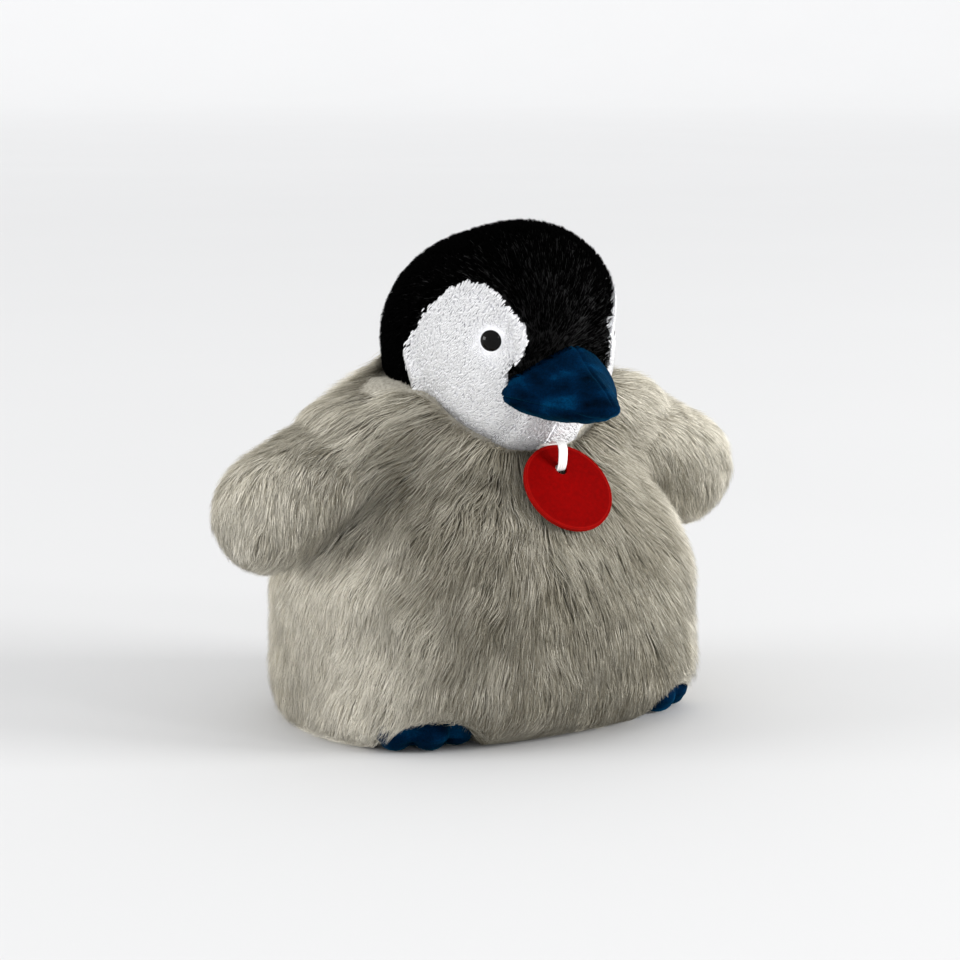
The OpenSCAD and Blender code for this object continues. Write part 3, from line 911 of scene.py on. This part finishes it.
def inside(points, outline):
    x, y = points[:, 0], points[:, 1]
    result = np.zeros(len(points), bool)
    for a, b in zip(outline, np.roll(outline, -1, axis=0)):
        crosses = (a[1] > y) != (b[1] > y)
        with np.errstate(divide="ignore", invalid="ignore"):
            result ^= crosses & (x < (b[0] - a[0]) * (y - a[1]) / (b[1] - a[1]) + a[0])
    return result


def head_angles(p):
    q = unit(p - HEAD_C)
    azimuth = np.degrees(np.arctan2(q[:, 0], -q[:, 1]))
    return azimuth, np.degrees(np.arcsin(np.clip(q[:, 2], -1, 1)))


def is_white(p):
    azimuth, elevation = head_angles(p)
    edge = smooth_outline(PATCH)
    spread = 0.9 * ripple(p, 4, 31) + 0.6 * ripple(p, 2, 32)
    return inside(np.stack([np.abs(azimuth) + spread, elevation + spread], -1), edge)


def hood_flow(p):
    """Up from the bill, over the crown and down the back, and down and back on the sides."""
    q = unit(p - HEAD_C)
    out = np.cross(q, [1.0, 0, 0])
    side = np.abs(q[..., 0])
    out[..., 1] += 0.5 * side
    out[..., 2] -= 0.6 * side
    return out


def face_flow(p):
    out = np.zeros_like(p)
    out[..., 0] = 0.7 * np.sign(p[..., 0])
    out[..., 2] = -0.6
    return out


# No hair starts within this of an eye's axis
EYE_CLEAR = 5.2
HEAD_HAIRS = 100000


def make_head():
    out = ball_directions(96, 48)
    rings = cast(head_surface, HEAD_C, out, -HEAD_DEPTH)
    white = is_white(rings.reshape(-1, 3)).reshape(rings.shape[:2])
    rings = rings + out * ((HEAD_DEPTH - FACE_DEPTH) * white)[..., None]
    skin = grid_object("head_skin", rings, "hood_skin")
    colour_head_skin(skin)
    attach(skin, "head")
    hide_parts("head_stuffing")

    roots = cast(head_surface, HEAD_C, unit(rng.normal(size=(HEAD_HAIRS, 3))), 0)
    buried = (torso_surface(roots) < -12) & (roots[:, 2] < HEAD_C[2] - 20)
    roots = roots[~buried]
    for axis in EYE_AXES:
        q = roots - HEAD_C
        off = np.linalg.norm(q - (q @ axis)[:, None] * axis, axis=1)
        roots = roots[(off > EYE_CLEAR) | (q @ axis < 0)]
    white = is_white(roots)
    pile(roots[~white], hood_flow, (3.2, 4.6), 0.42, "hood_fur", HOOD_PILE, "crown_gusset", "crown_panel")
    pile(roots[white], face_flow, (2.8, 3.5), 0.95, "face_fur", FACE_PILE, "chin_panel", "cheek_panel")


def near_eye(p):
    """1 at an eye's rim, falling to 0 a few millimetres away."""
    q = p - HEAD_C
    off = np.full(len(p), 99.0)
    for axis in EYE_AXES:
        away = np.linalg.norm(q - (q @ axis)[:, None] * axis, axis=1)
        off = np.minimum(off, np.where(q @ axis > 0, away, 99))
    return np.clip((11 - off) / 5, 0, 1)


def pile(roots, flow, length, width, material, lie, middle_panel, side_panel):
    """Short pile in one piece or more for the middle panel and for the panel on each side."""
    n = len(roots)
    rough = lie["rough"]
    lengths = rng.uniform(*length, n) * (1 - 0.55 * near_eye(roots))
    tip = rough * (0.2 * rng.normal(size=n) + 0.35 * ripple(roots, 5, 41)) - 0.15
    tip = tip + lie["dip"] * near_eye(roots)

    def swirled(p):
        return unit(flow(p)) + 0.3 * rough ** 0.5 * ripples(p, 14, 51)
    path, ups = lay_hairs(head_surface, roots, lie["depth"], swirled, lengths * 0.62, tip, SHORT_POINTS)
    small = rng.choice(n, n // 9, replace=False)
    small_of = nearest(roots, roots[small])
    path = clump(path, path[small], small_of, rough * rng.uniform(0.2, 0.55, n))
    shade = np.clip(0.6 + 0.25 * rough * rng.normal(size=n), 0, 1)
    area = np.clip(0.6 + 0.3 * rough * ripple(roots, 22, 61), 0, 1)
    tone = tones(path, shade, area)
    widths = width * rng.uniform(0.8, 1.2, n)
    x = roots[:, 0]
    groups = {middle_panel: np.abs(x) < MIDDLE_X, side_panel + "_left": x >= MIDDLE_X,
              side_panel + "_right": x <= -MIDDLE_X}
    for panel, chosen in groups.items():
        for piece in fur_pieces(panel + "_pile", path[chosen], ups[chosen], tone[chosen], widths[chosen],
                                material, SHORT_MOST, lie["flat"]):
            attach(piece, "head")
            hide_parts(panel)


def colour_head_skin(skin):
    mesh = skin.data
    mesh.materials.append(MATERIALS["face_skin"])
    centres = np.empty(len(mesh.polygons) * 3)
    mesh.polygons.foreach_get("center", centres)
    white = is_white(centres.reshape(-1, 3) / MM)
    mesh.polygons.foreach_set("material_index", white.astype(np.int32))


# ---- Bill ----------------------------------------------------------------------------------

# Each line: distance in front of the body's axis, half width, top, bottom, and height of the widest line
UPPER_BILL = [(50, 25, 159, 138.6, 142), (56, 25, 161, 138, 141.8), (60, 23.2, 162, 137.4, 141.4),
              (66, 19.6, 160.5, 136.6, 140.4), (72, 15.5, 154.5, 135.4, 139.2), (78, 11.6, 150.2, 134.4, 138),
              (84, 8, 146.6, 134, 137.4), (88, 5.6, 143.4, 134.4, 137.6), (90.4, 2.8, 140.6, 136, 138)]
LOWER_BILL = [(50, 24.4, 143, 134, 140.4), (56, 24.4, 143, 131.6, 139.8), (62, 21.4, 142.5, 130.7, 139),
              (68, 17.4, 141, 130.7, 138), (74, 13.4, 139.5, 131.2, 137), (79, 10, 138.4, 132, 136.2),
              (83, 6.6, 137.4, 133, 135.8), (86.5, 2.6, 136.4, 134.2, 135.6)]


def bill_half(name, table, roof, belly, ridge):
    """A stuffed velour form through the table's cross-sections, with a sewn groove along its ridge."""
    table = np.array(table, float)
    reach_mm = np.linspace(table[0, 0], table[-1, 0], 64)
    columns = [np.interp(reach_mm, table[:, 0], table[:, k]) for k in range(1, 5)]
    kernel = np.array([1, 2, 3, 2, 1]) / 9
    columns = [np.concatenate([c[:2], np.convolve(c, kernel, "valid"), c[-2:]]) for c in columns]
    wide, top, bottom, middle = columns
    turns = circle(96)
    c, r = np.cos(turns), np.sin(turns)
    power = np.where(r > 0, roof, belly)
    x = wide[:, None] * squared(c, 2 / power)
    rise = np.where(r > 0, (top - middle)[:, None], (middle - bottom)[:, None])
    z = middle[:, None] + rise * squared(r, 2 / power)
    z = z - ridge * np.exp(-(x / 0.8) ** 2) * (r > 0)
    rings = np.stack([x, -np.broadcast_to(reach_mm[:, None], x.shape), z], -1)
    out = unit(rings - rings.mean(1, keepdims=True))
    rings = rings + out * (0.22 * ripple(rings, 7, 71) + 0.1 * ripple(rings, 2.6, 72))[..., None]
    return grid_object(name, rings, "velour")


def make_bill():
    upper = bill_half("upper_bill_velour", UPPER_BILL, 1.5, 2.0, 0.8)
    lower = bill_half("lower_bill_velour", LOWER_BILL, 2.0, 2.1, 0.0)
    for piece, node in ((upper, "upper_bill"), (lower, "lower_bill")):
        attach(piece, "head")
        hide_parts(node)
    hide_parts("bill_stuffing")


# ---- Feet ----------------------------------------------------------------------------------

TOES = [(-13, -11.5), (0, -16), (13, -11.5)]
FOOT_R = 8.0


def foot_surface(p):
    """Three toes from one heel, in the foot's own directions, with a groove where the sole is sewn on."""
    d = None
    heel = np.array([0, 6, FOOT_R])
    for toe in TOES:
        axis = np.array([toe[0], toe[1], FOOT_R]) - heel
        t = np.clip((p - heel) @ axis / (axis @ axis), 0, 1)
        one = np.linalg.norm(p - heel - t[..., None] * axis, axis=-1) - FOOT_R
        d = one if d is None else join(d, one, 3)
    sewn = 0.6 * np.exp(-((p[..., 2] - 3.6) / 0.6) ** 2)
    return np.maximum(d + sewn, 0.1 - p[..., 2])


def make_foot(side):
    sign = 1 if side == "left" else -1
    out = ball_directions(144, 60)
    q = cast(foot_surface, np.array([0, -3, FOOT_R]), out, 0, 40)
    q = q + out * (0.25 * ripple(q, 8, 81) * (q[..., 2] > 1))[..., None]
    c, s = math.cos(TOE_OUT), math.sin(TOE_OUT)
    rings = np.stack([q[..., 0] * c - q[..., 1] * s, q[..., 0] * s + q[..., 1] * c, q[..., 2]], -1) + FOOT
    piece = grid_object(f"foot_{side}_velour", rings * np.array([sign, 1, 1]), "velour")
    body = f"foot_{side}"
    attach(piece, body)
    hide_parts(body + "_upper", body + "_sole", body + "_stuffing")


# ---- Tag and ribbon ------------------------------------------------------------------------

TAG_LEAN = math.radians(38)
# The ribbon's middle line in the tag's own frame: up the tag, and out of its face
RIBBON = [(19.6, 2.2), (19.8, 3.4), (19.4, 4.7), (18.6, 6.0), (17.3, 7.0), (15.7, 7.2), (14.1, 6.6),
          (12.5, 5.4), (10.9, 4.0), (9.5, 2.5), (8.7, 1.1), (8.4, 0.0), (8.6, -1.0), (9.4, -1.8),
          (11.0, -2.2), (13.5, -2.4), (16.0, -2.6), (18.0, -3.0), (19.4, -3.3), (20.4, -3.5)]
RIBBON_W = 4.2
RIBBON_T = 0.55


def make_ribbon():
    up = np.array([0, math.sin(TAG_LEAN), math.cos(TAG_LEAN)])
    out = np.array([0, -math.cos(TAG_LEAN), math.sin(TAG_LEAN)])
    route = np.array([TAG_C + u * up + v * out for u, v in RIBBON])
    tangent = unit(np.gradient(route, axis=0))
    turns = circle(24)
    wide, thick = squared(np.cos(turns), 0.45), squared(np.sin(turns), 0.45)
    across = np.array([1.0, 0, 0])
    face = np.cross(tangent, across)
    rings = (route[:, None] + RIBBON_W / 2 * wide[None, :, None] * across
             + RIBBON_T / 2 * thick[None, :, None] * face[:, None])
    ribbon = grid_object("tag_ribbon", rings, "ribbon")
    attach(ribbon, "tag")
    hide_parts("tag_loop")


# ---- Label and the CAD nodes that stay -----------------------------------------------------

def make_label():
    """A blank satin label sewn into the back seam, curling a little away from the fur."""
    lo, hi = low("care_label"), high("care_label")
    turns = circle(28)
    x = (hi[0] - lo[0]) / 2 * squared(np.cos(turns), 0.3)
    y = 0.2 * squared(np.sin(turns), 0.3)
    rings = []
    for t in np.linspace(0, 1, 22):
        curl = 2.2 * t ** 2 + 0.25 * math.sin(7 * t)
        wave = 0.35 * np.sin(x / 3.2 + 2 * t)
        z = np.full(len(x), hi[2] - (hi[2] - lo[2]) * t)
        rings.append(np.stack([x, hi[1] + 0.4 + curl + wave * t + y, z], -1))
    piece = grid_object("care_label_satin", np.array(rings)[::-1], "label")
    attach(piece, "torso")
    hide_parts("care_label")


DRESS = {"hang_tag": "card", "tag_anchor": "thread", "eye_left": "eye", "eye_right": "eye",
         "eye_washer_left": "washer", "eye_washer_right": "washer", "pellet_bag": "bag",
         "pellet_fill": "pellets", "neck_core": "stuffing"}


def dress_nodes():
    for node, material in DRESS.items():
        piece = bpy.data.objects[node]
        for place in piece.material_slots:
            place.link = "OBJECT"
            place.material = MATERIALS[material]


# ---- Stage ---------------------------------------------------------------------------------

# How far the floor is level, and the radius that it curves up with after that
FLOOR_EDGE = 9000
FLOOR_CURVE = 1700


def make_stage():
    """A level floor that curves up far away, the same on every side."""
    n = Nodes("floor")
    away = n.add("ShaderNodeVectorMath", operation="LENGTH")
    n.link(n.coordinates(), away.inputs[0])
    share = n.add("ShaderNodeMath", operation="DIVIDE")
    n.link(away.outputs["Value"], share.inputs[0])
    share.inputs[1].default_value = FLOOR_EDGE * MM
    tint = n.ramp(share.outputs["Value"], [(0.06, (0.685, 0.685, 0.685, 1)), (0.5, (0.86, 0.86, 0.86, 1)),
                                           (1.0, (0.96, 0.96, 0.96, 1))])
    mottle = n.ramp(n.noise(3, 2), [(0.3, (0.992, 0.992, 0.992, 1)), (0.7, (1, 1, 1, 1))])
    n.link(n.mix("MULTIPLY", 1.0, tint, mottle), n.shader.inputs["Base Color"])
    n.set(Roughness=0.9, Specular_IOR_Level=0.1)
    MATERIALS["floor"] = n.material
    turns = circle(96)
    profile = [(600, 0), (1800, 0), (FLOOR_EDGE, 0)]
    profile += [(FLOOR_EDGE + FLOOR_CURVE * math.sin(t), FLOOR_CURVE * (1 - math.cos(t)))
                for t in np.linspace(0.1, 1.2, 14)]
    rings = np.array([[[r * math.cos(a), r * math.sin(a), z] for a in turns] for r, z in profile])
    count = len(turns)
    faces = [(j * count + i, (j + 1) * count + i,
              (j + 1) * count + (i + 1) % count, j * count + (i + 1) % count)
             for j in range(len(profile) - 1) for i in range(count)]
    faces += [tuple(range(count))]
    floor = mesh_object("floor", rings.reshape(-1, 3), faces, "floor")


def area_light(name, place, size, power):
    """A soft box that faces the chick and doesn't show in the picture."""
    data = bpy.data.lights.new(name, "AREA")
    data.shape = "RECTANGLE"
    data.size, data.size_y = size
    data.energy = power
    light = bpy.data.objects.new(name, data)
    bpy.context.scene.collection.objects.link(light)
    light.location = place
    light.visible_camera = False
    light.rotation_euler = (Vector((0, 0, 0.1)) - Vector(place)).to_track_quat("-Z", "Y").to_euler()


def make_lights():
    world = bpy.data.worlds.new("world")
    bpy.context.scene.world = world
    world.use_nodes = True
    world.node_tree.nodes["Background"].inputs["Color"].default_value = (0.985, 0.99, 1.0, 1)
    world.node_tree.nodes["Background"].inputs["Strength"].default_value = 0.94
    area_light("left_box", (-3.0, 1.2, 0.8), (1.6, 1.1), 60)
    area_light("right_box", (3.0, -2.64, 0.9), (1.6, 1.1), 190)
    area_light("key", (0.55, -1.46, 0.85), (0.2, 0.2), 3)
    bpy.context.scene.view_settings.view_transform = "Standard"


make_camera()
make_ribbon()
dress_nodes()
make_label()
make_bill()
make_foot("left")
make_foot("right")
make_torso()
make_wing("left")
make_wing("right")
make_head()
make_stage()
make_lights()
